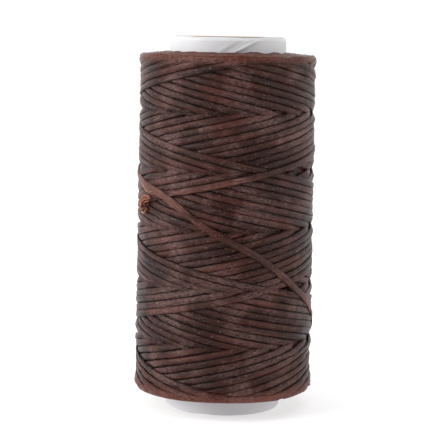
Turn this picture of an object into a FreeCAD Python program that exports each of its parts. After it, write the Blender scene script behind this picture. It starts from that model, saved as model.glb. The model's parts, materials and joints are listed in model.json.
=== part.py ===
"""A small spool of flat waxed thread for leatherwork, in millimetres.

A spiral-wound paper tube carries one continuous thread. The thread starts as a short tail laid
along the tube, is cross-wound over it in layers, and ends in a steep wrap round the finished
winding whose cut end is tucked under itself. +Z runs up the tube, the origin is the middle of
the tube's lower rim, and the wrap's angles are measured from the front (-Y) towards +X.
"""

import FreeCAD, Part

import math
import os

from FreeCAD import Vector

# The paper tube
TUBE_LENGTH = 60.0
BORE_DIAMETER = 16.0
INNER_PLY = 0.45  # kraft paper
MIDDLE_PLY = 0.65  # grey board
OUTER_PLY = 0.25  # white liner
PLY_JOINT = 0.12  # open butt joint between a strip's edges
STRIP_LEAD = 31.4  # how far a strip climbs in one turn
OUTER_JOINT_ANGLE = 62.0  # where the liner's joint meets the lower rim
JOINT_STAGGER = 120.0  # each ply covers the joint of the one below

# The thread and its winding
THREAD_WIDTH = 1.10
THREAD_THICKNESS = 0.36
LAYERS = 7
LAYER_BUILD = 0.735  # one strand each way, crossing and pressed together
WINDING_FOOT = 3.55  # bare tube below the winding
WINDING_HEAD = 1.55  # and above it
SHOULDER_RADIUS = 0.9  # the winding's rounded ends
LAYER_EDGE = 0.3  # each layer's own rounded rim

# The tail that the winding starts from
START_TAIL_LENGTH = 25.0
START_TAIL_INSET = 2.0
START_TAIL_ANGLE = 200.0

THREAD_CLEARANCE = 0.03

# The last stretch of thread, as (angle in degrees, height above the winding's foot). It leaves
# the foot of the winding behind, climbs over the front to the left, and comes round again.
WRAP_ROUTE = [
    (165, 2.0),
    (140, 3.6),
    (115, 6.2),
    (93, 9.4),
    (68, 14.4),
    (42, 19.1),
    (18, 23.1),
    (-8, 26.7),
    (-39, 31.2),
    (-60, 33.1),
    (-75, 34.4),
    (-90, 35.9),
    (-115, 37.5),
    (-150, 38.7),
    (-190, 39.3),
    (-230, 39.2),
    (-270, 38.6),
]
# From there the end runs down the front again, passes under the wrap and stands clear.
END_ROUTE = [
    (-270, 38.6),
    (-300, 37.2),
    (-330, 35.7),
    (-360, 34.2),
    (-385, 32.9),
    (-405, 31.8),
    (-417, 30.9),
    (-425, 29.9),
    (-429, 28.9),
]
CROSSING_ANGLE = -46.0  # where the wrap rides over the end
CROSSING_REACH = 16.0  # degrees over which it rises and falls
END_LIFT_START = -414.0  # past the crossing the cut end lifts away
END_LIFT = 0.8
SECTION_STEP = 5.0  # degrees between the thread's sections

tube_radius = BORE_DIAMETER / 2 + INNER_PLY + MIDDLE_PLY + OUTER_PLY
winding_radius = tube_radius + LAYERS * LAYER_BUILD
winding_length = TUBE_LENGTH - WINDING_FOOT - WINDING_HEAD
winding_middle = WINDING_FOOT + winding_length / 2


def on_cylinder(angle, height, radius):
    """The point at that angle from the front, in degrees, on a cylinder round the tube's axis."""
    turn = math.radians(angle)
    return Vector(radius * math.sin(turn), -radius * math.cos(turn), height)


def ring(inner, outer, low, high, edge=0.0):
    """A closed sleeve round the axis, with its two outer rims rounded."""
    corners = [Vector(inner, 0, low), Vector(inner, 0, high)]
    if not edge:
        outline = Part.makePolygon(
            [*corners, Vector(outer, 0, high), Vector(outer, 0, low), corners[0]]
        )
    else:
        slant = edge * (1 - math.sqrt(0.5))
        top = Part.Arc(
            Vector(outer - edge, 0, high),
            Vector(outer - slant, 0, high - slant),
            Vector(outer, 0, high - edge),
        )
        bottom = Part.Arc(
            Vector(outer, 0, low + edge),
            Vector(outer - slant, 0, low + slant),
            Vector(outer - edge, 0, low),
        )
        outline = Part.Wire(
            [
                Part.makeLine(*corners),
                Part.makeLine(corners[1], top.StartPoint),
                top.toShape(),
                Part.makeLine(top.EndPoint, bottom.StartPoint),
                bottom.toShape(),
                Part.makeLine(bottom.EndPoint, corners[0]),
            ]
        )
    return Part.Face(outline).revolve(Vector(0, 0, 0), Vector(0, 0, 1), 360)


# --- the paper tube ---------------------------------------------------------------------------


def ply(inner, thickness, joint_angle):
    """One ply: a strip wound in a spiral, with an open joint where its edges meet."""
    outer = inner + thickness
    sleeve = ring(inner, outer, 0, TUBE_LENGTH)
    run_past = STRIP_LEAD / 2  # the cut starts below the tube and ends above it
    spine = Part.makeHelix(STRIP_LEAD, TUBE_LENGTH + 2 * run_past, (inner + outer) / 2)
    profile = Part.makePolygon(
        [
            Vector(inner - thickness, 0, -PLY_JOINT / 2),
            Vector(outer + thickness, 0, -PLY_JOINT / 2),
            Vector(outer + thickness, 0, PLY_JOINT / 2),
            Vector(inner - thickness, 0, PLY_JOINT / 2),
            Vector(inner - thickness, 0, -PLY_JOINT / 2),
        ]
    )
    cut = Part.Wire(spine.Edges).makePipeShell([profile], True, True)
    # The helix starts on +X, a quarter turn on from the front.
    turned = joint_angle - 90 - 360 * run_past / STRIP_LEAD
    cut.rotate(Vector(0, 0, 0), Vector(0, 0, 1), turned)
    cut.translate(Vector(0, 0, -run_past))
    return sleeve.cut(cut)


def tube_plies():
    """The tube's three plies, from the bore outwards."""
    parts = {}
    inner = BORE_DIAMETER / 2
    plies = [
        ("tube_inner_ply", INNER_PLY),
        ("tube_middle_ply", MIDDLE_PLY),
        ("tube_outer_ply", OUTER_PLY),
    ]
    for index, (name, thickness) in enumerate(plies):
        below_liner = len(plies) - 1 - index
        angle = OUTER_JOINT_ANGLE - below_liner * JOINT_STAGGER
        parts[name] = ply(inner, thickness, angle)
        inner += thickness
    return parts


# --- the winding ------------------------------------------------------------------------------


def shoulder_inset(radius):
    """How far the winding's rounded ends draw back at this radius."""
    past = radius - (winding_radius - SHOULDER_RADIUS)
    if past <= 0:
        return 0.0
    return SHOULDER_RADIUS - math.sqrt(SHOULDER_RADIUS**2 - past**2)


def start_tail(clearance=0.0):
    """The thread's inner end, laid flat along the tube and trapped under the first layer."""
    strip = Part.makeBox(
        THREAD_WIDTH + 2 * clearance,
        THREAD_THICKNESS + clearance,
        START_TAIL_LENGTH + 2 * clearance,
        Vector(
            -THREAD_WIDTH / 2 - clearance,
            -tube_radius - THREAD_THICKNESS - clearance,
            WINDING_FOOT + START_TAIL_INSET - clearance,
        ),
    )
    strip.rotate(Vector(0, 0, 0), Vector(0, 0, 1), START_TAIL_ANGLE)
    return strip


def winding_layers():
    """One sleeve for each layer, shorter where the winding's ends are rounded."""
    parts = {}
    for index in range(LAYERS):
        inner = tube_radius + index * LAYER_BUILD
        outer = inner + LAYER_BUILD
        half = winding_length / 2 - shoulder_inset((inner + outer) / 2)
        layer = ring(inner, outer, winding_middle - half, winding_middle + half, LAYER_EDGE)
        if index == 0:
            layer = layer.cut(start_tail(THREAD_CLEARANCE))
        parts[f"thread_layer_{index + 1}"] = layer
    return parts


# --- the finishing wrap -----------------------------------------------------------------------


def smooth_step(share):
    """0 to 1 with a level start and finish."""
    share = min(max(share, 0.0), 1.0)
    return share * share * (3 - 2 * share)


def wrap_lift(angle):
    """The wrap rises over the end that is tucked under it."""
    reach = abs(angle - CROSSING_ANGLE) / CROSSING_REACH
    return (THREAD_THICKNESS + THREAD_CLEARANCE) * smooth_step(2 * (1 - reach))


def end_lift(angle):
    """The cut end curls away from the winding."""
    travel = END_LIFT_START - END_ROUTE[-1][0]
    return END_LIFT * smooth_step((END_LIFT_START - angle) / travel)


def flat_thread(route, lift):
    """The thread laid flat along a route on the winding, lofted through square sections."""
    spread = math.radians(1) * winding_radius  # one degree, unrolled
    line = Part.BSplineCurve()
    line.interpolate([Vector(angle * spread, WINDING_FOOT + height, 0) for angle, height in route])
    count = math.ceil(abs(route[-1][0] - route[0][0]) / SECTION_STEP)
    sections = []
    for index in range(count + 1):
        at = line.FirstParameter
        at += (line.LastParameter - line.FirstParameter) * index / count
        middle = line.value(at)
        angle = middle.x / spread
        along = line.tangent(at)[0]
        outward = on_cylinder(angle, 0, 1)
        sideways = on_cylinder(angle + 90, 0, 1)
        across = (Vector(0, 0, along.x) - sideways * along.y) * (THREAD_WIDTH / 2)
        low = on_cylinder(angle, middle.y, winding_radius + THREAD_CLEARANCE + lift(angle))
        high = low + outward * THREAD_THICKNESS
        corners = [low - across, low + across, high + across, high - across]
        sections.append(Part.makePolygon([*corners, corners[0]]))
    return Part.makeLoft(sections, True, False)


def finishing_thread():
    """The steep last wrap, and the end that passes under it."""
    return {
        "finishing_wrap": flat_thread(WRAP_ROUTE, wrap_lift),
        "tucked_end": flat_thread(END_ROUTE, end_lift),
    }


def build():
    """Every piece of the spool by name."""
    return {
        **tube_plies(),
        "thread_start_tail": start_tail(),
        **winding_layers(),
        **finishing_thread(),
    }


os.makedirs("parts", exist_ok=True)
for name, shape in build().items():
    shape.exportStep(f"parts/{name}.step")
    print(f"{name}: {len(shape.Solids)} solid, {shape.Volume:.1f} mm3, valid {shape.isValid()}")
print(f"tube radius {tube_radius:.2f}, winding radius {winding_radius:.3f}")
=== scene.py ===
# %% [markdown]
# # A spool of flat waxed thread
# A small spiral-wound paper tube carries one long flat thread of waxed fibre, wound criss-cross
# from rim to rim, as used for sewing leather by hand. CAD has the tube's three plies and the
# winding as plain sleeves. This lesson lays the thread itself, strand by strand, in the order
# that the winder laid it, so that the bands, the crossings and the small gaps between strands
# come out of the winding and aren't drawn on.

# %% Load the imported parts
import json
import math

import bpy
import numpy as np
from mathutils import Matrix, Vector

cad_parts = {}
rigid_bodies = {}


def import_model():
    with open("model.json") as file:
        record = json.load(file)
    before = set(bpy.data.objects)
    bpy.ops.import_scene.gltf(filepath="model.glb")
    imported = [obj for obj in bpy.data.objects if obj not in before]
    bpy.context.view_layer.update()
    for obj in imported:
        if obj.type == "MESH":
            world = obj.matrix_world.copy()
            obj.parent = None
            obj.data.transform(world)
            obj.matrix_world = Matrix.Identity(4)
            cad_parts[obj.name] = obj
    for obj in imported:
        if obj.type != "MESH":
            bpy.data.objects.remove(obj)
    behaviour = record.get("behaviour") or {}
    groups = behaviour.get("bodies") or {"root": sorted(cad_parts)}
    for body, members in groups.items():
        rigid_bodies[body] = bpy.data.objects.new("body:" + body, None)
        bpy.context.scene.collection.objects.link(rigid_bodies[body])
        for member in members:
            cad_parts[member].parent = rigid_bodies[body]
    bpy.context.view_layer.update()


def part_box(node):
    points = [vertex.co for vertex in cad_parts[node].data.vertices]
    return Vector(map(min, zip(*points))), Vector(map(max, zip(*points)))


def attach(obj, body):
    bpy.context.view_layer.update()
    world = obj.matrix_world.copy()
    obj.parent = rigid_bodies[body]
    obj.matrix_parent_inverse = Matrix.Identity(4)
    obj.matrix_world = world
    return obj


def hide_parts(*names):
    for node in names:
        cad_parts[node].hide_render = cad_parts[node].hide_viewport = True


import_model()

# %% [markdown]
# ## Sizes
# The thread is worked out in millimetres, because every size on the object is a few of them,
# and becomes metres only when a mesh is made. The tube's and the winding's radii are read from
# the CAD parts, so the looks follow them. Angles are measured from the front, towards the
# right-hand side, and heights from the floor.

# %% Read the sizes from the parts
MM = 0.001
LAYERS = 7
THREAD_WIDTH = 1.10
THREAD_THICKNESS = 0.36
BORE_RADIUS = 8.0  # inside the paper tube


def widest(node):
    """The radius of a round CAD part, in millimetres."""
    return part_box(node)[1].x / MM


def lowest(node):
    """Its lower end's height, in millimetres."""
    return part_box(node)[0].z / MM


def highest(node):
    """Its upper end's height, in millimetres."""
    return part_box(node)[1].z / MM


tube_radius = widest("tube_outer_ply")
tube_length = highest("tube_outer_ply")
winding_radius = widest(f"thread_layer_{LAYERS}")
winding_foot = lowest("thread_layer_1")
winding_head = highest("thread_layer_1")
layer_build = (winding_radius - tube_radius) / LAYERS
print(f"tube {tube_radius:.2f}, winding {winding_radius:.2f}, {winding_foot:.2f} to {winding_head:.2f}")

# %% [markdown]
# ## How the winder lays the thread
# The tube turns steadily while a guide carries the thread up and down it. Each trip up and down
# takes a little less than six turns, so every trip starts a strand's width further round, and
# after some sixteen trips the tube is covered once in each direction. The guide slows as it
# turns back at each end, which rounds the strand's turning point. A hand-fed thread also
# wanders by a tenth of a millimetre or so, and that is most of what makes the surface look real.

# %% Where the guide is after so many turns
TRIPS_TO_COVER = 16.3
TURNS_PER_TRIP = 6 - 1 / TRIPS_TO_COVER
PITCH = 18.25  # climb per turn
LOW_TURNING = 3.2  # where straight strands would meet at the foot
LAST_ANGLE = 42.3  # where the last trip ends, in degrees
FRONT_LEAN = 0.10  # strands are a little steeper in front than behind


def guide_height(turns, ease):
    """The guide's height: up and down, with the turning points eased over some turns."""
    since_low = np.mod(turns, TURNS_PER_TRIP)
    since_low = np.minimum(since_low, TURNS_PER_TRIP - since_low)
    until_high = TURNS_PER_TRIP / 2 - since_low
    height = since_low.copy()
    low = since_low < ease
    height[low] = ease / 2 + since_low[low] ** 2 / (2 * ease)
    high = until_high < ease
    height[high] = TURNS_PER_TRIP / 2 - ease / 2 - until_high[high] ** 2 / (2 * ease)
    return LOW_TURNING + PITCH * height


def tube_angle(turns_left):
    """The angle round the tube, in degrees, that many turns before the last trip ends."""
    even = math.radians(LAST_ANGLE) + 2 * math.pi * turns_left
    leaning = even - FRONT_LEAN * np.sin(even) + FRONT_LEAN**2 / 2 * np.sin(2 * even)
    return np.degrees(leaning)


def wander(count, spacing, size, rng):
    """Smooth random drift about zero, with a new value every so many samples."""
    knots = rng.normal(0, size, count // spacing + 4)
    # Averaging neighbours shrinks the drift, so it is scaled up again.
    knots = np.convolve(knots, [0.25, 0.5, 0.25], "same") * 1.6
    return np.interp(np.arange(count) / spacing, np.arange(len(knots)), knots)


print(f"each strand lands {PITCH / TRIPS_TO_COVER:.2f} mm above the one laid a trip before")

# %% [markdown]
# ## What each new strand rests on
# The winding's surface is kept as a map of its radius, by height and by angle. A new strand
# feels that map across its own width. It is stiff and under tension, so it can't sink into
# every dip: it spans from one high place to the next like a string pulled over a hilly ball,
# which is what leaves the small dark gaps beside a crossing. Where the guide turns back, more
# strands pile up than anywhere else, and there the soft thread below gives way.

# %% Start the map of the surface
AROUND = 720  # cells round the map
STEP_ANGLE = 360 / AROUND
STEP_HEIGHT = 0.1
HEAD_SHOULDER = 0.6  # radii of the winding's rounded ends
FOOT_SHOULDER = 0.4
surface = np.full((int(tube_length / STEP_HEIGHT) + 1, AROUND), tube_radius)


def envelope(height):
    """The winding's outer radius at a height: straight, with a rounded shoulder at each end."""
    drawn_in = 0
    foot = (height - winding_foot, FOOT_SHOULDER)
    head = (winding_head - height, HEAD_SHOULDER)
    for from_end, shoulder in (foot, head):
        into = np.clip(shoulder - from_end, 0, shoulder)
        drawn_in = drawn_in + shoulder - np.sqrt(shoulder**2 - into**2)
    return winding_radius - drawn_in


print(f"the surface map has {surface.size} cells of about {STEP_HEIGHT} mm")

# %% [markdown]
# To lay a strand, its route is followed over the map. The strand takes the tilt of what it
# feels, comes to rest on the highest places, is pulled taut between them, and is pressed down
# where it would stand out of the winding. Then the map is raised under it, a little less at its
# rounded edges than along its middle. A cloth or rope simulation could do the same, but not for
# fifty metres of thread in a few seconds.

# %% Lay a strand over the surface
FEELERS = 9  # places across a strand where it feels the surface
RESTS_ON = 0.8  # the highest fifth of what it feels carries it
HELIX = 1.04  # a climbing strand bends a little less than the tube does
MOST_SPAN = 0.5  # how far a taut strand may stand off what is below it
GIVE = 0.3  # how much of a pile-up is left when the thread below gives way
EDGE_DROP = 0.1  # how much lower a strand's edges are than its middle


def taut(travel, height, radius):
    """The line a taut thread takes over bumps on a round body: the upper hull of its profile."""
    sunk = height - travel**2 / (2 * radius)
    hull = [0]
    for i in range(1, len(travel)):
        while len(hull) > 1:
            a, b = hull[-2], hull[-1]
            rise = (sunk[b] - sunk[a]) * (travel[i] - travel[a])
            if rise > (sunk[i] - sunk[a]) * (travel[b] - travel[a]):
                break
            hull.pop()
        hull.append(i)
    return np.interp(travel, travel[hull], sunk[hull]) + travel**2 / (2 * radius)


def smooth(values, width):
    """A moving average with soft ends."""
    kernel = np.hanning(width + 2)[1:-1]
    padded = np.pad(values, width // 2, mode="edge")
    return np.convolve(padded, kernel / kernel.sum(), "valid")[: len(values)]


def lay(angle, height, roof, width=THREAD_WIDTH, thickness=THREAD_THICKNESS, limit=0.30, pull=0.5):
    """Lays a strand along a route and raises the surface under it. Gives its middle's radius and
    its tilt, which is positive where its upper edge stands out. The roof is the radius that it
    shouldn't stand out of, the limit is the most that it tilts, and the pull says how far it
    spans the dips."""
    radius = float(np.median(surface[np.round(height / STEP_HEIGHT).astype(int), 0]))
    arc = np.radians(angle) * radius
    travel = np.concatenate([[0], np.cumsum(np.hypot(np.diff(arc), np.diff(height)))])
    run = np.gradient(arc)
    climb = np.gradient(height)
    length = np.hypot(run, climb)
    # Across the strand, always pointing up.
    side = np.sign(run)
    across_arc = -climb / length * side
    across_height = run / length * side
    offsets = np.linspace(-0.5, 0.5, FEELERS) * width
    rows, columns = [], []
    for offset in offsets:
        z = height + across_height * offset
        turn = angle + np.degrees(across_arc * offset / radius)
        rows.append(np.clip(np.round(z / STEP_HEIGHT).astype(int), 0, len(surface) - 1))
        columns.append(np.mod(np.round(turn / STEP_ANGLE).astype(int), AROUND))
    rows, columns = np.array(rows), np.array(columns)
    felt = surface[rows, columns]
    inner = felt[1:-1]
    tilt = (inner * offsets[1:-1, None]).sum(0) / (offsets[1:-1] ** 2).sum()
    tilt = np.clip(smooth(tilt, 13), -limit, limit)
    rest = np.quantile(inner - tilt * offsets[1:-1, None], RESTS_ON, axis=0)
    rest = smooth(rest, 5)
    spanned = taut(travel, rest, radius * HELIX)
    rest = rest + pull * (np.minimum(spanned, rest + MOST_SPAN) - rest)
    ceiling = np.minimum(roof, envelope(height)) - thickness
    over = rest > ceiling
    rest[over] = ceiling[over] + GIVE * (rest[over] - ceiling[over])
    top = rest + thickness + tilt * offsets[:, None]
    top = top - EDGE_DROP * (2 * offsets[:, None] / width) ** 4
    surface[rows, columns] = np.maximum(surface[rows, columns], top)
    return rest + thickness / 2, tilt


print(f"a strand feels the surface in {FEELERS} places across its {THREAD_WIDTH} mm")

# %% [markdown]
# ## Wind every layer
# All seven layers are wound, from the tube out, because the ends of the inner ones show as loops
# on the winding's two end faces, and the outer ones take their bumps from them. The result for
# each layer is one long route: angle, height, radius and tilt.

# %% Wind the layers
FIRST_EASE = 0.035  # turns that the guide takes to slow down, on the bare tube
MORE_EASE = 0.045  # and how many more on the last layer
SHORT_DRIFT = (120, 0.022)  # samples between values, and size
LONG_DRIFT = (900, 0.03)
SAG_TOP = 10  # strands below this height have slipped down,
SAG_BOTTOM = 5  # and those below this one fully
SAG_IN_FRONT = 0.22
MORE_AT_SIDES = 0.5
rng = np.random.default_rng(12)
trips = round(LAYERS * TRIPS_TO_COVER)
trip_of_layer = np.round(np.linspace(0, trips, LAYERS + 1)).astype(int)
samples = int(TURNS_PER_TRIP * AROUND)
half_strand = THREAD_WIDTH / 2
away_from_ends = slice(round(10 / STEP_HEIGHT), round(50 / STEP_HEIGHT))


def foot_sag(angle, height):
    """How far the strands near the foot have slipped down, most on the two sides."""
    slipped = np.clip((SAG_TOP - height) / (SAG_TOP - SAG_BOTTOM), 0, 1)
    return (SAG_IN_FRONT + MORE_AT_SIDES * np.sin(np.radians(angle)) ** 2) * slipped


layer_routes = []
for layer in range(LAYERS):
    routes = []
    ease = FIRST_EASE + MORE_EASE * layer / (LAYERS - 1)
    roof = tube_radius + (layer + 1) * layer_build
    for trip in range(trip_of_layer[layer], trip_of_layer[layer + 1]):
        turns = trip * TURNS_PER_TRIP + np.arange(samples + 1) / samples * TURNS_PER_TRIP
        angle = tube_angle(trips * TURNS_PER_TRIP - turns)
        height = guide_height(turns, ease)
        short = wander(len(height), *SHORT_DRIFT, rng)
        height = height + short + wander(len(height), *LONG_DRIFT, rng)
        height = np.clip(height, winding_foot + half_strand, winding_head - half_strand)
        height = height - foot_sag(angle, height)
        radius, tilt = lay(angle, height, roof)
        routes.append(np.column_stack([angle, height, radius, tilt]))
    layer_routes.append(np.concatenate(routes))
    middle = np.median(surface[away_from_ends])
    print(f"layer {layer + 1}: {len(routes)} trips, surface radius {middle:.2f} mm")

# %% [markdown]
# ## The last wrap and the tucked end
# At the end the thread runs once along the foot of the winding, is led steeply up over the
# front and round behind, and passes under itself like a half hitch. Its cut end was singed
# with a flame, and sticks out below the crossing. A person led this stretch by hand, so its way
# follows no rule, and is given by a few points with a smooth line through them.

# %% Draw the way of the wrap and the end
# Each point is an angle and a height.
WRAP_ROUTE = [
    (165, 5.55),
    (140, 7.15),
    (115, 9.75),
    (93, 12.95),
    (86, 14.6),
    (68, 17.95),
    (52, 20.5),
    (42, 22.4),
    (18, 26.6),
    (-8, 30.0),
    (-39, 34.75),
    (-60, 36.2),
    (-75, 37.2),
    (-90, 38.2),
    (-115, 39.8),
    (-150, 41.3),
    (-190, 42.4),
    (-230, 42.6),
    (-270, 42.15),
]
END_ROUTE = [
    (-270, 42.15),
    (-300, 40.75),
    (-330, 39.2),
    (-360, 37.55),
    (-385, 36.2),
    (-405, 35.2),
    (-412, 34.95),
    (-417, 34.75),
    (-420, 34.6),
]


FAIR_SAMPLES = 2000


def fair(route):
    """Fills in a route with a smooth line through its points, one map cell apart."""
    points = np.array(route, float)
    knots = np.arange(len(points))
    fine = np.linspace(0, len(points) - 1, FAIR_SAMPLES)
    # A cubic through the points, with each slope taken from its neighbours.
    slope = np.gradient(points, axis=0)
    low = np.clip(np.floor(fine).astype(int), 0, len(points) - 2)
    t = (fine - knots[low])[:, None]
    a, b, m, n = points[low], points[low + 1], slope[low], slope[low + 1]
    line = (2 * t**3 - 3 * t**2 + 1) * a + (t**3 - 2 * t**2 + t) * m
    line += (-2 * t**3 + 3 * t**2) * b + (t**3 - t**2) * n
    angle = np.arange(line[0, 0], line[-1, 0], -STEP_ANGLE)
    return angle, np.interp(-angle, -line[:, 0], line[:, 1])


end_angle, end_height = fair(END_ROUTE)
wrap_angle, wrap_height = fair(WRAP_ROUTE)
print(f"the wrap climbs from {wrap_height.min():.1f} to {wrap_height.max():.1f} mm")

# %% [markdown]
# The order matters here. First comes the run round the foot, then the end, and the wrap's steep
# part last, so that it drapes over the end. Past the crossing the cut end lifts off.

# %% Lay the end of the thread
FOOT_RUN = 237.3  # degrees round the foot, from where the last trip ends
FOOT_RUN_HEIGHT = 4.0
RISE_START = 150  # past so many degrees it rises
RISE_LENGTH = 87.3
RISE = 1.55  # to the wrap's first point
WRAP_THICKNESS = 0.42
WRAP_TREAD = 1.05  # the width of what the wrap rests on
WRAP_CLEARANCE = 0.05
LIFT_START = -410
LIFT_LENGTH = 10
END_LIFT = 0.3
foot_turns = np.arange(0, FOOT_RUN, STEP_ANGLE)
foot_angle = LAST_ANGLE - foot_turns
risen = np.clip((foot_turns - RISE_START) / RISE_LENGTH, 0, 1)
foot_height = FOOT_RUN_HEIGHT + RISE * risen**2
foot_height = foot_height - foot_sag(foot_angle, foot_height)
foot_radius, foot_tilt = lay(foot_angle, foot_height, winding_radius)
foot_run = np.column_stack([foot_angle, foot_height, foot_radius, foot_tilt])
layer_routes[-1] = np.concatenate([layer_routes[-1], foot_run])

open_roof = winding_radius + 1.0
end_radius, end_tilt = lay(end_angle, end_height, open_roof, limit=0.4, pull=0.8)
wrap_radius, wrap_tilt = lay(
    wrap_angle, wrap_height, open_roof, WRAP_TREAD, WRAP_THICKNESS, limit=0.12, pull=0.95
)
wrap_radius = wrap_radius + WRAP_CLEARANCE
end_radius = end_radius + np.clip((LIFT_START - end_angle) / LIFT_LENGTH, 0, 1) ** 2 * END_LIFT
top = wrap_radius.max() + WRAP_THICKNESS / 2
print(f"wrap {len(wrap_angle)} samples, top radius {top:.2f} mm")

# %% [markdown]
# ## From a route to a ribbon
# A route becomes a line of points, and a Geometry Nodes tree sweeps a flat, round-cornered
# section along it. Each point carries the direction that its flat side faces, so the section
# doesn't twist. The tree also stores how far along and how far across the thread each vertex
# lies, because the fibres run along it and the finish needs to know where.

# %% Build the ribbon tree
def plug(tree, value, socket):
    """Links a socket to a socket, or sets a plain value on it."""
    if isinstance(value, bpy.types.NodeSocket):
        tree.links.new(value, socket)
    else:
        socket.default_value = value


def add_node(tree, kind, inputs=(), **properties):
    """Adds a node with its properties set and its inputs plugged in."""
    node = tree.nodes.new(kind)
    for name, value in properties.items():
        setattr(node, name, value)
    for key, value in dict(inputs).items():
        plug(tree, value, node.inputs[key])
    return node


def start_tree(name, inputs, output):
    """A tree with named inputs, given with their kinds, and one output."""
    tree = bpy.data.node_groups.new(name, "GeometryNodeTree")
    for title, kind in inputs.items():
        tree.interface.new_socket(title, in_out="INPUT", socket_type=f"NodeSocket{kind}")
    tree.interface.new_socket(output, in_out="OUTPUT", socket_type="NodeSocketGeometry")
    return tree, add_node(tree, "NodeGroupInput").outputs


def end_tree(tree, given, geometry):
    """Makes what was grown real, and dresses it in the finish that was asked for."""
    real = add_node(tree, "GeometryNodeRealizeInstances", {"Geometry": geometry})
    dressing = {"Geometry": real.outputs["Geometry"], "Material": given["Finish"]}
    dress = add_node(tree, "GeometryNodeSetMaterial", dressing)
    add_node(tree, "NodeGroupOutput", {0: dress.outputs["Geometry"]})
    return tree


def stored(tree, name, kind):
    """Reads a value that each point carries."""
    node = add_node(tree, "GeometryNodeInputNamedAttribute", {"Name": name}, data_type=kind)
    return node.outputs["Attribute"]


def store(tree, geometry, name, value):
    """Gives each point a value to carry."""
    inputs = {"Geometry": geometry, "Name": name, "Value": value}
    kind = "GeometryNodeStoreNamedAttribute"
    return add_node(tree, kind, inputs, data_type="FLOAT", domain="POINT").outputs["Geometry"]


def ribbon_tree():
    """Sweeps a flat thread section along a line of points."""
    sizes = {"Width": "Float", "Thickness": "Float", "Corner": "Float", "Corner Steps": "Int"}
    inputs = {"Line": "Geometry", **sizes, "Finish": "Material"}
    tree, given = start_tree("Flat thread", inputs, "Thread")
    line = add_node(tree, "GeometryNodeMeshToCurve", {"Mesh": given["Line"]})
    turning = {"Curve": line.outputs["Curve"], "Normal": stored(tree, "facing", "FLOAT_VECTOR")}
    turned = add_node(tree, "GeometryNodeSetCurveNormal", turning, mode="FREE")
    length = add_node(tree, "GeometryNodeSplineParameter").outputs["Length"]
    rail = store(tree, turned.outputs["Curve"], "along", length)

    sides = {"Width": given["Thickness"], "Height": given["Width"]}
    section = add_node(tree, "GeometryNodeCurvePrimitiveQuadrilateral", sides)
    rounding = {
        "Curve": section.outputs["Curve"],
        "Count": given["Corner Steps"],
        "Radius": given["Corner"],
        "Limit Radius": True,
    }
    rounded = add_node(tree, "GeometryNodeFilletCurve", rounding, mode="POLY")
    place = add_node(tree, "GeometryNodeInputPosition").outputs["Position"]
    across = add_node(tree, "ShaderNodeSeparateXYZ", {"Vector": place}).outputs["Y"]
    sweeping = {
        "Curve": rail,
        "Profile Curve": store(tree, rounded.outputs["Curve"], "across", across),
        "Scale": stored(tree, "swell", "FLOAT"),
        "Fill Caps": True,
    }
    sweep = add_node(tree, "GeometryNodeCurveToMesh", sweeping)
    soft = add_node(tree, "GeometryNodeSetShadeSmooth", {"Geometry": sweep.outputs["Mesh"]})
    return end_tree(tree, given, soft.outputs["Geometry"])


flat_thread = ribbon_tree()
print("ribbon tree:", len(flat_thread.nodes), "nodes")

# %% [markdown]
# A tree runs as a modifier on an object that holds its line. Its result is then kept as a plain
# mesh, and the modifier goes, because a finished piece has to be a mesh with nothing live on it.
# The real winding is slightly slimmer towards its head, so the routes are drawn in there.

# %% Turn routes into pieces
def grow(obj, tree, **values):
    """Runs a tree on an object and leaves its result as a plain mesh."""
    modifier = obj.modifiers.new(tree.name, "NODES")
    modifier.node_group = tree
    ids = {s.name: s.identifier for s in tree.interface.items_tree if s.in_out == "INPUT"}
    for name, value in values.items():
        modifier[ids[name.replace("_", " ")]] = value
    bpy.context.view_layer.update()
    finished = obj.evaluated_get(bpy.context.evaluated_depsgraph_get())
    mesh = bpy.data.meshes.new_from_object(finished)
    obj.modifiers.remove(modifier)
    line = obj.data
    obj.data = mesh
    bpy.data.meshes.remove(line)
    mesh.name = obj.name
    return obj


SLIMMER = 0.45  # how much less the winding's radius is at the head than at the foot


def into_scene(name, data):
    """An object that shows some data, in the scene."""
    obj = bpy.data.objects.new(name, data)
    bpy.context.scene.collection.objects.link(obj)
    return obj


def outline(name, routes):
    """A line object from one or more routes of angle, height, radius, tilt and swell."""
    points, facings, swells, edges = [], [], [], []
    for route in routes:
        turn = np.radians(route[:, 0])
        out = np.column_stack([np.sin(turn), -np.cos(turn), np.zeros(len(turn))])
        outward = (route[:, 2] - tube_radius) / (winding_radius - tube_radius)
        radius = route[:, 2] - SLIMMER * outward * route[:, 1] / tube_length
        spot = out * radius[:, None]
        spot[:, 2] = route[:, 1]
        along = np.gradient(spot, axis=0)
        along /= np.linalg.norm(along, axis=1)[:, None]
        up = np.cross(along, out)
        up *= np.sign(up[:, 2:3])
        facing = out - up * route[:, 3:4]
        facing /= np.linalg.norm(facing, axis=1)[:, None]
        first = sum(len(p) for p in points)
        points.append(spot * MM)
        facings.append(facing)
        swells.append(route[:, 4])
        edges += [(first + i, first + i + 1) for i in range(len(route) - 1)]
    mesh = bpy.data.meshes.new(name)
    mesh.from_pydata(np.concatenate(points).tolist(), edges, [])
    mesh.attributes.new("facing", "FLOAT_VECTOR", "POINT")
    mesh.attributes["facing"].data.foreach_set("vector", np.concatenate(facings).ravel())
    mesh.attributes.new("swell", "FLOAT", "POINT")
    mesh.attributes["swell"].data.foreach_set("value", np.concatenate(swells))
    return into_scene(name, mesh)


def thread_piece(name, routes, finish, width, thickness, corner, corner_steps=1):
    """Sweeps routes into one piece of thread or fibre that rides on the spool."""
    piece = grow(
        outline(name, routes),
        flat_thread,
        Width=width * MM,
        Thickness=thickness * MM,
        Corner=corner * MM,
        Corner_Steps=corner_steps,
        Finish=finish,
    )
    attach(piece, "root")
    print(f"{name}: {len(routes)} routes, {len(piece.data.polygons)} faces")
    return piece


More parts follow.
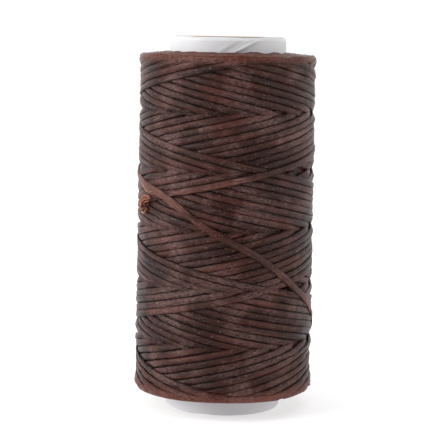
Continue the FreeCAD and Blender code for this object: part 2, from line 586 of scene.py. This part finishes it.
print(f"routes are drawn in by up to {SLIMMER} mm towards the head")

# %% [markdown]
# ## The thread's finish
# The thread is dark brown, of many fine parallel fibres soaked in wax. The wax fills the fibres
# and leaves a dull, slightly greasy shine with a grey bloom where it is seen at a glance. Noise
# stretched along the thread makes the fibres, a broader noise makes one stretch a little redder
# or darker than the next, and a fine one breaks up the shine where the wax lies unevenly.

# %% Write the nodes that finishes share
def new_finish(name):
    """A material, its tree, its shader and its Object coordinates."""
    material = bpy.data.materials.new(name)
    material.use_nodes = True
    tree = material.node_tree
    here = add_node(tree, "ShaderNodeTexCoord").outputs["Object"]
    return material, tree, tree.nodes["Principled BSDF"], here


def blend_colours(tree, share, first, second):
    """A colour mix. Each argument is a socket or a value."""
    inputs = {0: share, 6: first, 7: second}
    return add_node(tree, "ShaderNodeMix", inputs, data_type="RGBA", blend_type="MIX").outputs[2]


def spread(tree, value, low, high, new_low, new_high):
    """Maps one range of values on to another."""
    ends = {"From Min": low, "From Max": high, "To Min": new_low, "To Max": new_high}
    return add_node(tree, "ShaderNodeMapRange", {"Value": value, **ends}).outputs["Result"]


def noise(tree, vector, scale, detail, roughness):
    """Noise over a vector."""
    inputs = {"Vector": vector, "Scale": scale, "Detail": detail, "Roughness": roughness}
    return add_node(tree, "ShaderNodeTexNoise", inputs).outputs["Fac"]


def attribute(tree, name):
    """One stored value, in metres."""
    return add_node(tree, "ShaderNodeAttribute", attribute_name=name).outputs["Fac"]


def times(tree, first, second):
    """A socket times a socket or a number."""
    inputs = {0: first, 1: second}
    return add_node(tree, "ShaderNodeMath", inputs, operation="MULTIPLY").outputs[0]


def height_above_floor(tree, here):
    """How high a place is, in metres."""
    return add_node(tree, "ShaderNodeSeparateXYZ", {0: here}).outputs["Z"]


def bump(tree, height, strength, distance, below=None):
    """A bump, which can lie on top of another one."""
    inputs = {"Strength": strength, "Distance": distance, "Height": height}
    if below:
        inputs["Normal"] = below
    return add_node(tree, "ShaderNodeBump", inputs).outputs["Normal"]


def streaks(tree, along, across, along_scale, across_scale, roughness):
    """Noise that is drawn out along the thread."""
    inputs = {"X": times(tree, along, along_scale), "Y": times(tree, across, across_scale)}
    place = add_node(tree, "ShaderNodeCombineXYZ", inputs).outputs[0]
    return noise(tree, place, 1.0, 3.0, roughness)


print("nodes for finishes: noise, streaks, bumps and blends")

# %% [markdown]
# The colours go on in layers: the fibres from dark to light, a redder
# stretch here and there, a frost of wax on the fibres' backs, dark dips, bright grains that are partly
# pale wax and partly painted glints, a painted shade down each edge where the strands meet, and redder,
# paler fibres towards the winding's two ends. Three bumps follow: the ribbon's own crown, its fibres,
# and the grain of the wax.

# %% Make the waxed thread's finish
# Painted shade: the dark colour laid down each strand's edges, where neighbouring strands meet.
SHADE = (0.006, 0.0016, 0.0012, 1)  # between two strands
# Painted sheen on the wrap: it is paler along the stretch from the crossing round the spool's left
# side, between these distances along it.
PALER_FROM = (56, 69)  # millimetres along a pulled thread, where it starts to pale
PALER_TO = (76, 92)  # where it darkens again
# Heights in metres where the redder, paler ends are full and where they fade out, and their strength.
REDDER_ENDS = ((0.0585, 0.0555, 0.85), (0.0030, 0.0052, 0.6))


def thread_finish(name, dark, light, red, bloom, half_width, painted_sheen=0.0, fibre=1.6):
    """Waxed fibre. Colours are linear, and half_width is the ribbon's, in millimetres. A share of
    painted sheen makes the thread paler along a stretch past the crossing, where it turns round the
    spool's left side."""
    material, tree, shader, here = new_finish(name)
    along = times(tree, attribute(tree, "along"), 1000)
    across = times(tree, attribute(tree, "across"), 1000)
    fibres = streaks(tree, along, across, fibre, 5.5, 0.7)
    stretches = streaks(tree, along, across, 0.06, 0.5, 0.6)
    patches = noise(tree, here, 190.0, 3.0, 0.55)
    grains = noise(tree, here, 3200.0, 1.0, 0.6)
    from_middle = add_node(tree, "ShaderNodeMath", {0: across}, operation="ABSOLUTE").outputs[0]

    colour = blend_colours(tree, spread(tree, fibres, 0.42, 0.58, 0, 1), dark, light)
    colour = blend_colours(tree, spread(tree, stretches, 0.46, 0.68, 0, 0.8), colour, red)
    waxy = spread(tree, patches, 0.48, 0.64, 0, 0.9)
    frosted = times(tree, waxy, spread(tree, fibres, 0.42, 0.60, 0.05, 1))
    colour = blend_colours(tree, frosted, colour, bloom)
    colour = blend_colours(tree, spread(tree, patches, 0.50, 0.36, 0, 0.5), colour, dark)
    # The bright grains are partly pale specks of wax and partly painted glints.
    colour = blend_colours(tree, spread(tree, grains, 0.63, 0.72, 0, 0.7), colour, bloom)
    # Painted shade: each strand darkens towards its edges, where it meets its neighbours.
    shade = spread(tree, from_middle, half_width - 0.13, half_width - 0.02, 0, 0.95)
    colour = blend_colours(tree, shade, colour, SHADE)
    # Painted sheen: the wrap is paler along the stretch that turns round the spool's left side.
    if painted_sheen:
        sheen_paling = spread(tree, along, *PALER_FROM, 0, painted_sheen)
        sheen_paling = times(tree, sheen_paling, spread(tree, along, *PALER_TO, 1, 0))
        colour = blend_colours(tree, sheen_paling, colour, bloom)
    height = height_above_floor(tree, here)
    # The fibres turn redder and paler towards the winding's two ends.
    end_colour = (3.1 * red[0], 2.9 * red[1], 2.6 * red[2], 1)
    for full, none, most in REDDER_ENDS:
        towards_end = spread(tree, height, none, full, 0, most)
        towards_end = times(tree, towards_end, spread(tree, fibres, 0.40, 0.58, 0.2, 1))
        colour = blend_colours(tree, towards_end, colour, end_colour)
    tree.links.new(colour, shader.inputs["Base Color"])
    tree.links.new(spread(tree, patches, 0.3, 0.75, 0.31, 0.44), shader.inputs["Roughness"])
    shader.inputs["IOR"].default_value = 1.45
    shader.inputs["Specular IOR Level"].default_value = 0.13
    shader.inputs["Sheen Weight"].default_value = 0.08
    shader.inputs["Sheen Roughness"].default_value = 0.2
    shader.inputs["Sheen Tint"].default_value = (0.8, 0.76, 0.74, 1)

    bowed = spread(tree, times(tree, from_middle, from_middle), 0, half_width**2, 1, 0)
    crown = bump(tree, bowed, 1.0, 0.00008)
    ridges = bump(tree, fibres, 1.0, 0.00013, crown)
    tree.links.new(bump(tree, grains, 0.5, 0.00005, ridges), shader.inputs["Normal"])
    return material


waxed = thread_finish(
    "Waxed thread",
    dark=(0.0055, 0.0016, 0.0013, 1),
    light=(0.048, 0.0155, 0.0120, 1),
    red=(0.084, 0.0245, 0.0165, 1),
    bloom=(0.145, 0.080, 0.074, 1),
    half_width=THREAD_WIDTH / 2,
)
pulled = thread_finish(
    "Pulled thread",
    dark=(0.014, 0.0045, 0.0034, 1),
    light=(0.082, 0.0290, 0.0225, 1),
    red=(0.110, 0.0340, 0.0220, 1),
    bloom=(0.19, 0.086, 0.066, 1),
    half_width=0.6,
    painted_sheen=0.5,
    fibre=0.4,
)
tucked = thread_finish(
    "Tucked thread",
    dark=(0.0100, 0.0030, 0.0025, 1),
    light=(0.060, 0.0205, 0.0160, 1),
    red=(0.092, 0.0280, 0.0190, 1),
    bloom=(0.150, 0.076, 0.066, 1),
    half_width=0.55,
    fibre=0.6,
)
print("finishes:", waxed.name, pulled.name, tucked.name)

# %% [markdown]
# ## Turn the routes into thread
# The two outer layers are swept finely, since they are what one sees. The inner ones are swept
# more coarsely: only their loops show, at the winding's two ends and through the gaps.

# %% Sweep every layer
CORNER = 0.42  # the section's corner radius, as a share of its thickness
SWELL = 0.035
FINE = {LAYERS - 1: 120, LAYERS - 2: 90}  # samples a turn in the two outer layers
COARSE = 48  # and in the others
FINEST = 240  # on the wrap and the tucked end


def thin(route, per_turn):
    """Keeps so many samples a turn."""
    step = AROUND // per_turn
    kept = route[::step]
    return np.vstack([kept, route[-1:]]) if (len(route) - 1) % step else kept


def swollen(route):
    """Adds the thread's own small changes of thickness to a route."""
    change = 1 + wander(len(route), 25, SWELL, rng)
    return np.column_stack([route, change])


def sweep_thread(
    node,
    name,
    route,
    per_turn,
    finish=waxed,
    width=THREAD_WIDTH,
    thickness=THREAD_THICKNESS,
    corner_steps=1,
    squeezed=None,
):
    """Sweeps a route into a piece that stands for a CAD node. It is flatter and wider where it
    is squeezed over a crossing: at an angle, over some degrees, by a share."""
    fine = swollen(thin(route, per_turn))
    if squeezed:
        middle, reach, wider = squeezed
        fine[:, 4] *= 1 + wider * np.exp(-(((fine[:, 0] - middle) / reach) ** 2))
    piece = thread_piece(name, [fine], finish, width, thickness, CORNER * thickness, corner_steps)
    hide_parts(node)


for layer in range(LAYERS):
    number = layer + 1
    per_turn = FINE.get(layer, COARSE)
    sweep_thread(f"thread_layer_{number}", f"winding_{number}", layer_routes[layer], per_turn)

# %% [markdown]
# The wrap and the tucked end are the same thread, laid on top, and the wrap is squeezed flat
# where it is pulled over the end. The thread's other end is a tail laid along the bare tube.

# %% Sweep the wrap and the two ends
WRAP_WIDTH = 1.15
END_THICKNESS = 0.40
SQUEEZED = (-58, 22, 0.2)  # the angle, the degrees and the share
TAIL_ANGLE = 200.0
TAIL_HEIGHTS = (5.6, 30.5)
TAIL_SAMPLES = 60
sweep_thread(
    "finishing_wrap",
    "last_wrap",
    np.column_stack([wrap_angle, wrap_height, wrap_radius, wrap_tilt]),
    FINEST,
    pulled,
    WRAP_WIDTH,
    WRAP_THICKNESS,
    corner_steps=3,
    squeezed=SQUEEZED,
)
sweep_thread(
    "tucked_end",
    "tucked_tail",
    np.column_stack([end_angle, end_height, end_radius, end_tilt]),
    FINEST,
    tucked,
    thickness=END_THICKNESS,
    corner_steps=2,
)
tail_route = np.zeros((TAIL_SAMPLES, 4))
tail_route[:, 0] = TAIL_ANGLE
tail_route[:, 1] = np.linspace(*TAIL_HEIGHTS, TAIL_SAMPLES)
tail_route[:, 2] = tube_radius + THREAD_THICKNESS / 2
sweep_thread("thread_start_tail", "first_tail", tail_route, AROUND)

# %% [markdown]
# ## The cut end
# A cut end of waxed thread opens into its strands, and a flame shrinks and browns them. Here they
# have curled round into a hook. Each fibre follows the hook for part of its way, with a place of
# its own in the bundle and a wiggle of its own. About half are bright orange, partly scorched and
# partly painted light shining through the thin fibres; the rest are brown.

# %% Fray the cut end
# Painted light: the bright orange is partly scorching and partly light shining through the thin fibres.
singed_and_lit = thread_finish(
    "Singed and lit fibres",
    dark=(0.07, 0.020, 0.012, 1),
    light=(0.44, 0.165, 0.100, 1),
    red=(0.52, 0.18, 0.085, 1),
    bloom=(0.74, 0.50, 0.40, 1),
    half_width=0.2,
)
# Each point is an angle and a height.
HOOK = [
    (-54, 34.7),
    (-58, 34.6),
    (-61.5, 34.3),
    (-64.5, 33.8),
    (-65.3, 33.2),
    (-64, 32.6),
    (-61.5, 32.5),
    (-60.6, 33.1),
]
HOOK_SAMPLES = 26
HOOK_LIFT = 0.25  # how far the bundle stands off the winding
BUNDLE = 0.24  # how far a fibre lies from the bundle's middle
hook_angle, hook_height = np.array(HOOK).T
hook_points = np.arange(len(HOOK))


def hook_fibre():
    """The route of one fibre along its part of the hook."""
    ends = rng.uniform(0, 0.4), rng.uniform(0.62, 1.04)
    share = np.linspace(*ends, HOOK_SAMPLES) * (len(HOOK) - 1)
    place = rng.normal(0, BUNDLE)
    drift = wander(HOOK_SAMPLES, 9, 0.11, rng)
    angle = smooth(np.interp(share, hook_points, hook_angle), 6)
    height = smooth(np.interp(share, hook_points, hook_height), 6)
    # Across the hook, so that the bundle keeps its width round the bend.
    run, climb = np.gradient(angle) * winding_radius * math.pi / 180, np.gradient(height)
    aside = (place * (1 + 0.5 * share / len(HOOK)) + drift) / np.hypot(run, climb)
    angle = angle + np.degrees(-climb * aside / winding_radius)
    height = height + run * aside
    out = winding_radius + HOOK_LIFT + rng.uniform(-0.2, 0.3)
    out = out + wander(HOOK_SAMPLES, 8, 0.10, rng)
    out = out + 0.25 * np.sin(share / len(HOOK) * math.pi) - 1.2 * place**2
    return np.column_stack([angle, height, out, np.zeros(HOOK_SAMPLES), 1 - 0.02 * share])


for name, count, finish in (("singed_and_lit_fibres", 64, singed_and_lit), ("brown_fibres", 56, pulled)):
    thread_piece(name, [hook_fibre() for number in range(count)], finish, 0.16, 0.12, 0.04)

# %% [markdown]
# Where the wrap is pulled over the end, some of its outer fibres have parted from it and run
# beside its lower edge. They are paler than the rest, partly because they have lost their wax and
# partly as a painted highlight along that edge.

# %% Part some fibres from the wrap
# Painted highlight: these fibres are pale partly to stand for the light that the wrap's lower edge
# catches.
parted_highlight = thread_finish(
    "Parted fibres",
    dark=(0.10, 0.036, 0.026, 1),
    light=(0.40, 0.19, 0.145, 1),
    red=(0.44, 0.20, 0.145, 1),
    bloom=(0.62, 0.44, 0.38, 1),
    half_width=0.2,
)
PARTED = 26
PARTED_ANGLES = (-68, -49)
PARTED_SAMPLES = 30
BESIDE = 0.62  # from the wrap's middle, just past its edge


def parted_fibre():
    """The route of one fibre beside the wrap's lower edge."""
    share = np.linspace(0, 1, PARTED_SAMPLES)
    first, last = PARTED_ANGLES
    ends = first + rng.uniform(-2, 4), last + rng.uniform(-5, 3)
    angle = np.linspace(*ends, PARTED_SAMPLES)
    beside = BESIDE + rng.normal(0, 0.10) + 0.12 * np.sin(share * math.pi)
    height = np.interp(-angle, -wrap_angle, wrap_height)
    height = height - beside * np.sin(share * math.pi) ** 0.6
    out = np.interp(-angle, -wrap_angle, wrap_radius) + 0.10 + rng.uniform(-0.08, 0.12)
    out = out + wander(PARTED_SAMPLES, 8, 0.04, rng)
    return np.column_stack([angle, height, out, 0 * share, 0 * share + 1])


parted_routes = [parted_fibre() for number in range(PARTED)]
thread_piece("parted_fibres", parted_routes, parted_highlight, 0.15, 0.11, 0.04)

# %% [markdown]
# ## The paper tube
# Each ply is a strip wound in a spiral, with a hairline between its edges, and each covers the
# joint of the one below. The three are made as such strips. Handling has rolled the top rim in,
# and the liner's is a little lower in front, so that the board shows there as a fine tan line.
# Where the liner's joint comes out from under the winding, its edges have puckered. At the foot
# the tube was cut slightly unevenly.

# %% Say how the paper is bent
LEAD = 31.4  # climb of a strip in one turn
JOINT_GAP = 0.05  # between a strip's edges
FOOT_GAP = 0.14  # where they have opened, at the foot
FOOT_OPEN = 5  # up to this height
ROLLED = 0.7  # how far the rim is rolled in
SKIN = 0.005  # keeps two plies from touching


def from_front(turn):
    """Degrees from the front, from -180 to 180."""
    return (turn + 180) % 360 - 180


def puckers(a, z):
    """A strip's edges at its joint near the head: one stands up in a crease, the other is
    pressed in, and the paper beside them is wavy."""
    crease = 0.26 * np.exp(-(((a - 5) / 3.8) ** 2)) - 0.05 * np.exp(-(((360 - a) / 6.0) ** 2))
    from_joint = np.minimum(a, 360 - a)
    crease = crease + 0.05 * (1 + np.sin(a / 2.3 + z)) * np.exp(-((from_joint / 15) ** 2))
    return crease * np.clip((z - 57.0) / 0.8, 0, 1)


def dip(turn, angle, z):
    """How much lower the liner's rim is, most in front."""
    front = np.clip((44 - np.abs(from_front(turn))) / 8, 0, 1)
    return (0.03 + 0.12 * front + 0.02 * np.sin(5 * angle)) * np.clip((z - 59.2) / 0.8, 0, 1)


def chips(turn, angle, z):
    """How much is missing from the foot, most a little left of the front."""
    chipped = 0.16 * np.exp(-(((from_front(turn) + 18) / 9.0) ** 2))
    chipped = chipped + 0.03 * np.sin(angle * 5 + 1)
    return np.clip(1 - z / 1.2, 0, 1) * np.clip(chipped, 0, None)


print(f"a strip goes round {tube_length / LEAD:.2f} times on its way up the tube")

# %% [markdown]
# A strip could be a cylinder with a line drawn on it, but then no edge would catch the light.
# So each is a grid of points that runs from one edge of the paper to the other, finer where it
# bends: an outer sheet, an inner sheet, and a border that closes them.

# %% Wind the paper strips
def closed_grid(rows, columns):
    """The faces of two sheets of points and of the border between them."""
    index = np.arange(rows * columns).reshape(rows, columns)
    low, high = index[:-1, :-1].ravel(), index[1:, :-1].ravel()
    low_next, high_next = index[:-1, 1:].ravel(), index[1:, 1:].ravel()
    second = rows * columns
    border = np.concatenate([index[0, :], index[1:, -1], index[-1, -2::-1], index[-2:0:-1, 0]])
    following = np.roll(border, -1)
    return np.concatenate(
        [
            np.column_stack([low, low_next, high_next, high]),
            np.column_stack([high, high_next, low_next, low]) + second,
            np.column_stack([border, border + second, following + second, following]),
        ]
    )


def paper_strip(inner, thickness, joint_angle, roll_inner, roll_outer, puckered):
    """One ply as a closed strip: a grid along the tube and around it, from joint to joint."""
    top = tube_length
    # Rows and columns lie closer where the paper bends: at the foot, the head and the joint.
    foot_rows, head_rows = np.linspace(0, 3, 16), np.linspace(57, top, 36)
    heights = np.concatenate([foot_rows, np.linspace(3.6, 56.4, 50), head_rows])
    edge = np.concatenate([np.linspace(0, 1.8, 5), np.linspace(3, 14, 12)])
    around = np.concatenate([edge, np.linspace(16, 344, 165), 360 - edge[::-1]])
    z, a = np.meshgrid(heights, around, indexing="ij")
    gap = np.where(z < FOOT_OPEN, FOOT_GAP, JOINT_GAP) / inner * 180 / math.pi
    turn = joint_angle + 360 * z / LEAD + gap / 2 + a / 360 * (360 - gap)
    angle = np.radians(turn)
    towards_end = np.clip((z - (top - ROLLED)) / ROLLED, 0, 0.96)
    rolled = ROLLED * (1 - np.sqrt(1 - towards_end**2))
    wave = 0.012 * np.sin(3 * angle + 0.4) + 0.008 * np.sin(7 * angle + z / 5)
    moved = wave + puckered * puckers(a, z) * (1 - towards_end)
    z = z - puckered * dip(turn, angle, z) + chips(turn, angle, z)
    sheets = []
    for radius, roll in ((inner + thickness - SKIN, roll_outer), (inner + SKIN, roll_inner)):
        radius = radius + moved - roll * rolled
        spots = np.stack([radius * np.sin(angle), -radius * np.cos(angle), z], axis=-1)
        sheets.append(spots.reshape(-1, 3))
    return np.concatenate(sheets) * MM, closed_grid(*z.shape)


def paper_finish(name, colour, speck, rough, speck_size=400.0, foot=None):
    """Matt paper with faint fibres. With a foot colour, the paper is painted paler towards the foot,
    painted light that lifts the shade falling there.
    """
    material, tree, shader, here = new_finish(name)
    cloud = noise(tree, here, speck_size, 4.0, 0.6)
    shown = blend_colours(tree, spread(tree, cloud, 0.35, 0.7, 0, 1), colour, speck)
    if foot:
        # Painted light: paler towards the foot, to lift the shade that falls there.
        painted_light_to_foot = spread(tree, height_above_floor(tree, here), 0.050, 0.005, 0, 0.8)
        shown = blend_colours(tree, painted_light_to_foot, shown, foot)
    tree.links.new(shown, shader.inputs["Base Color"])
    shader.inputs["Roughness"].default_value = rough
    shader.inputs["Specular IOR Level"].default_value = 0.3
    fuzz = noise(tree, here, 1500.0, 3.0, 0.6)
    tree.links.new(bump(tree, fuzz, 0.3, 0.00004), shader.inputs["Normal"])
    return material


kraft = paper_finish("Kraft paper", (0.36, 0.20, 0.10, 1), (0.26, 0.14, 0.07, 1), 0.85)
board = paper_finish("Grey board", (0.36, 0.27, 0.19, 1), (0.25, 0.19, 0.14, 1), 0.9)
# The liner's foot colour is painted light: paler, to lift the shade at the foot.
liner = paper_finish(
    "White liner",
    (0.60, 0.60, 0.61, 1),
    (0.54, 0.54, 0.56, 1),
    0.6,
    speck_size=150.0,
    foot=(0.64, 0.63, 0.66, 1),
)
# Name, CAD node, where its joint meets the foot, how far its inner and outer sides are rolled
# in, whether it is puckered, finish and slot.
STRIPS = [
    ("kraft_strip", "tube_inner_ply", -178.0, 0.0, 0.3, 0, kraft, "kraft_ply"),
    ("board_strip", "tube_middle_ply", -58.0, 0.3, 1.0, 0, board, "board_ply"),
    ("white_strip", "tube_outer_ply", 62.0, 1.0, 1.0, 1, liner, "white_liner"),
]
SHARP = math.radians(50)
inside = BORE_RADIUS
for name, node, joint, roll_inner, roll_outer, puckered, finish, slot in STRIPS:
    thickness = widest(node) - inside
    spots, faces = paper_strip(inside, thickness, joint, roll_inner, roll_outer, puckered)
    inside = inside + thickness
    mesh = bpy.data.meshes.new(name)
    mesh.from_pydata(spots.tolist(), [], faces.tolist())
    mesh.shade_smooth()
    mesh.set_sharp_from_angle(angle=SHARP)
    mesh.materials.append(finish)
    strip = into_scene(name, mesh)
    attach(strip, "root")
    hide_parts(node)
    print(f"{name}: {thickness:.2f} mm thick, {len(mesh.polygons)} faces")

# %% [markdown]
# ## Crumbs and lint
# Wax flakes off at the crossings and catches the light. The crumbs are far too many to place by
# hand, so Geometry Nodes scatters small lumps over a copy of the outer layer, and only on faces
# that stand right at the outside.

# %% Scatter crumbs of wax
CRUMB_DEPTH = 0.14  # crumbs lie no deeper than this below the winding's outside


def scatter_tree():
    """Sprinkles small lumps over the outward faces of a mesh."""
    numbers = {"Per Square Metre": "Float", "Size": "Float", "Seed": "Int"}
    inputs = {"Ground": "Geometry", **numbers, "Finish": "Material"}
    tree, given = start_tree("Sprinkle", inputs, "Lumps")
    place = add_node(tree, "GeometryNodeInputPosition").outputs["Position"]
    level = {0: place, 1: (1, 1, 0)}
    flat = add_node(tree, "ShaderNodeVectorMath", level, operation="MULTIPLY").outputs[0]
    radius = add_node(tree, "ShaderNodeVectorMath", {0: flat}, operation="LENGTH")
    limits = {0: radius.outputs["Value"], 1: (winding_radius - CRUMB_DEPTH) * MM}
    outside = add_node(tree, "FunctionNodeCompare", limits, operation="GREATER_THAN")
    spots = {
        "Mesh": given["Ground"],
        "Selection": outside.outputs[0],
        "Density": given["Per Square Metre"],
        "Seed": given["Seed"],
    }
    points = add_node(tree, "GeometryNodeDistributePointsOnFaces", spots)
    lump = add_node(tree, "GeometryNodeMeshIcoSphere", {"Radius": 1.0, "Subdivisions": 1})
    stretch = add_node(tree, "FunctionNodeRandomValue", data_type="FLOAT_VECTOR")
    stretch.inputs["Min"].default_value = (0.4, 0.4, 0.25)
    stretch.inputs["Max"].default_value = (1.3, 1.0, 0.6)
    growth = {0: stretch.outputs["Value"], "Scale": given["Size"]}
    grown = add_node(tree, "ShaderNodeVectorMath", growth, operation="SCALE").outputs[0]
    putting = {
        "Points": points.outputs["Points"],
        "Instance": lump.outputs["Mesh"],
        "Rotation": points.outputs["Rotation"],
        "Scale": grown,
    }
    put = add_node(tree, "GeometryNodeInstanceOnPoints", putting)
    return end_tree(tree, given, put.outputs["Instances"])


wax_crumb = paper_finish(
    "Wax crumbs", (0.42, 0.33, 0.28, 1), (0.26, 0.16, 0.12, 1), 0.45, speck_size=900.0
)
crumbs = into_scene("wax_crumbs", bpy.data.objects[f"winding_{LAYERS}"].data.copy())
sprinkle = scatter_tree()
grow(crumbs, sprinkle, Per_Square_Metre=60000.0, Size=0.055 * MM, Seed=5, Finish=wax_crumb)
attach(crumbs, "root")
print(f"{crumbs.name}: {len(crumbs.data.polygons)} faces")

# %% [markdown]
# A few loose filaments stand up from any real thread. Each is a thin ribbon that leaves the
# winding and comes back to it, and one has curled into a small loop beside the wrap.

# %% Add the loose filaments
FILAMENTS = 130
FILAMENT_SAMPLES = 14
LOOP_SAMPLES = 24
LOOP_PLACE = (-69.3, 39.05)  # angle and height


def filament():
    """The route of one filament, anywhere on the winding."""
    share = np.linspace(0, 1, FILAMENT_SAMPLES)
    reach = rng.uniform(0.8, 2.6)
    lean = rng.normal(0, 0.5)
    angle = rng.uniform(0, 360) + np.degrees(reach * share / winding_radius)
    height = rng.uniform(5, 57) + lean * reach * share + rng.normal(0, 0.4) * share**2
    height = np.clip(height, 4.4, 57.6)
    rise = rng.uniform(0.02, 0.30)
    out = winding_radius + 0.03 + rise * np.sin(share * math.pi * rng.uniform(0.5, 1.1))
    return np.column_stack([angle, height, out, np.zeros(FILAMENT_SAMPLES), 1 - 0.5 * share])


hair_routes = [filament() for number in range(FILAMENTS)]
thread_piece("loose_filaments", hair_routes, pulled, 0.032, 0.026, 0.008)
ring = np.linspace(0, 1.9 * math.pi, LOOP_SAMPLES)
loop_angle = LOOP_PLACE[0] + np.degrees(0.27 * np.cos(ring) / winding_radius)
loop_height = LOOP_PLACE[1] + 0.29 * np.sin(ring)
loop_out = winding_radius + 0.28 + 0.1 * np.cos(ring)
loop = np.column_stack([loop_angle, loop_height, loop_out, 0 * ring, 0 * ring + 1])
thread_piece("filament_loop", [loop], wax_crumb, 0.1, 0.08, 0.02)

# %% [markdown]
# ## Floor, light and camera
# The spool stands on a pale floor that glows a little of its own, as a light table does, so
# that it meets a white background with only a faint shadow under the foot.

# %% Lay the floor
FLOOR_HALF = 30
corners = [(-1, -1), (1, -1), (1, 1), (-1, 1)]
floor_mesh = bpy.data.meshes.new("floor")
floor_mesh.from_pydata([(FLOOR_HALF * x, FLOOR_HALF * y, 0) for x, y in corners], [], [range(4)])
floor = into_scene("floor", floor_mesh)
pale, _, pale_shader, _ = new_finish("Pale floor")
pale_shader.inputs["Base Color"].default_value = (0.6, 0.6, 0.6, 1)
pale_shader.inputs["Emission Color"].default_value = (1, 1, 1, 1)
pale_shader.inputs["Emission Strength"].default_value = 0.5
pale_shader.inputs["Roughness"].default_value = 0.9
floor_mesh.materials.append(pale)
print(f"the floor is {2 * FLOOR_HALF} m wide")

# %% [markdown]
# Dark wax shows its shape by what it reflects. The studio is therefore dark in front of the
# spool, bright behind it, and soft grey above, while the camera sees plain white everywhere.

# %% Paint the studio
world = bpy.data.worlds.new("Studio")
world.use_nodes = True
sky = world.node_tree
direction = add_node(sky, "ShaderNodeTexCoord").outputs["Generated"]
parts = add_node(sky, "ShaderNodeSeparateXYZ", {0: direction}).outputs
behind = spread(sky, parts["Y"], -0.5, 0.6, 0, 1)
overhead = spread(sky, parts["Z"], 0.35, 0.75, 0, 1)
walls = blend_colours(sky, behind, (0.10, 0.10, 0.10, 1), (1.6, 1.6, 1.6, 1))
room = blend_colours(sky, overhead, walls, (0.75, 0.75, 0.75, 1))
seen = add_node(sky, "ShaderNodeLightPath").outputs["Is Camera Ray"]
shown = blend_colours(sky, seen, room, (1.02, 1.02, 1.02, 1))
sky.links.new(shown, sky.nodes["Background"].inputs["Color"])
bpy.context.scene.world = world
print("studio nodes:", len(sky.nodes))

# %% [markdown]
# A softbox on each side draws the two long highlights. Beside each stands a warm panel that
# only the shine picks up, because light on the fibres themselves would wash out their dark brown.

# %% Set up the softboxes
def panel(name, place, size, power):
    """A soft light that looks at the spool's middle."""
    light = bpy.data.lights.new(name, "AREA")
    light.shape, light.size, light.energy = "SQUARE", size, power
    obj = into_scene(name, light)
    obj.location = place
    to_spool = Vector((0, 0, tube_length * MM / 2)) - Vector(place)
    obj.rotation_euler = to_spool.to_track_quat("-Z", "Y").to_euler()
    return obj


panel("left softbox", (-0.47, -0.16, 0.25), 0.35, 3.4)
panel("right softbox", (0.48, -0.16, 0.22), 0.30, 1.3)
left_strip = panel("left strip", (-0.37, -0.32, 0.12), 0.26, 2.2)
right_strip = panel("right strip", (0.40, -0.28, 0.12), 0.26, 1.1)
for shine in (left_strip, right_strip):
    shine.visible_diffuse = False
    shine.data.color = (1.0, 0.84, 0.78)
print("lights:", len(bpy.data.lights))

# %% [markdown]
# The camera stands about a quarter of a metre from the spool, level with its head, and looks
# slightly down. The lens is shifted to take in the foot, so the sides stay nearly upright.

# %% Place the camera
camera_data = bpy.data.cameras.new("camera")
camera_data.lens = 115.6
camera_data.sensor_width = 36
camera_data.shift_y = -0.080
camera_data.clip_start = 0.01
camera = into_scene("camera", camera_data)
camera.location = (0, -0.233, 0.060)
looking = Vector((-0.0003, 0.233, -0.0246))
camera.rotation_euler = looking.to_track_quat("-Z", "Y").to_euler()
camera.rotation_euler.rotate_axis("Z", math.radians(1.04))
bpy.context.scene.camera = camera
bpy.context.scene.view_settings.view_transform = "Standard"
print(f"the camera is {looking.length:.3f} m from where it looks")

# %% [markdown]
# ## Bring the scene up to date
# The view layer is updated once more, so that every piece stands where it was put.

# %% Update the scene
bpy.context.view_layer.update()
